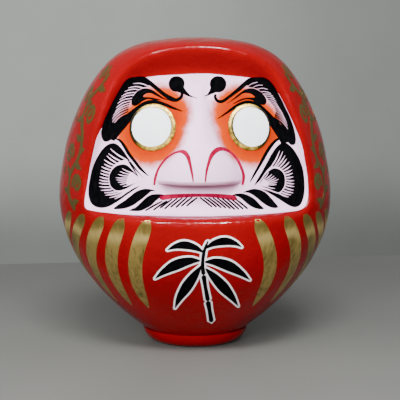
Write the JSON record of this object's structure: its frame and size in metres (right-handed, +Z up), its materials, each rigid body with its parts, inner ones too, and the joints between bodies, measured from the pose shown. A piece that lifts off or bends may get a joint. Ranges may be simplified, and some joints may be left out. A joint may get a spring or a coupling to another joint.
{
  "type": "daruma doll",
  "caption": "Egg-shaped papier-mache daruma doll with a sunk white face under a brow ridge, raised blank eyes, a broad nose, gold bands and a weighted foot.",
  "frame": {"origin": "middle of the foot's underside", "axes": "+Z up, -Y towards the front of the face, +X to the right as seen from the front"},
  "size_m": [0.2152, 0.2, 0.2402],
  "materials": {
    "lacquered_paper": "gloss",
    "face_paint": "satin",
    "raw_paper": "matte",
    "dry_clay": "matte",
    "black_paint": "satin",
    "gold_paint": "satin",
    "crimson_paint": "satin"
  },
  "bodies": {
    "root": {"front_shell": "lacquered_paper", "rear_shell": "lacquered_paper", "seam_strip": "raw_paper", "nose": "face_paint", "foot_cup": "lacquered_paper", "ballast_clay": "dry_clay", "bottom_seal": "raw_paper"}
  },
  "joints": []
}
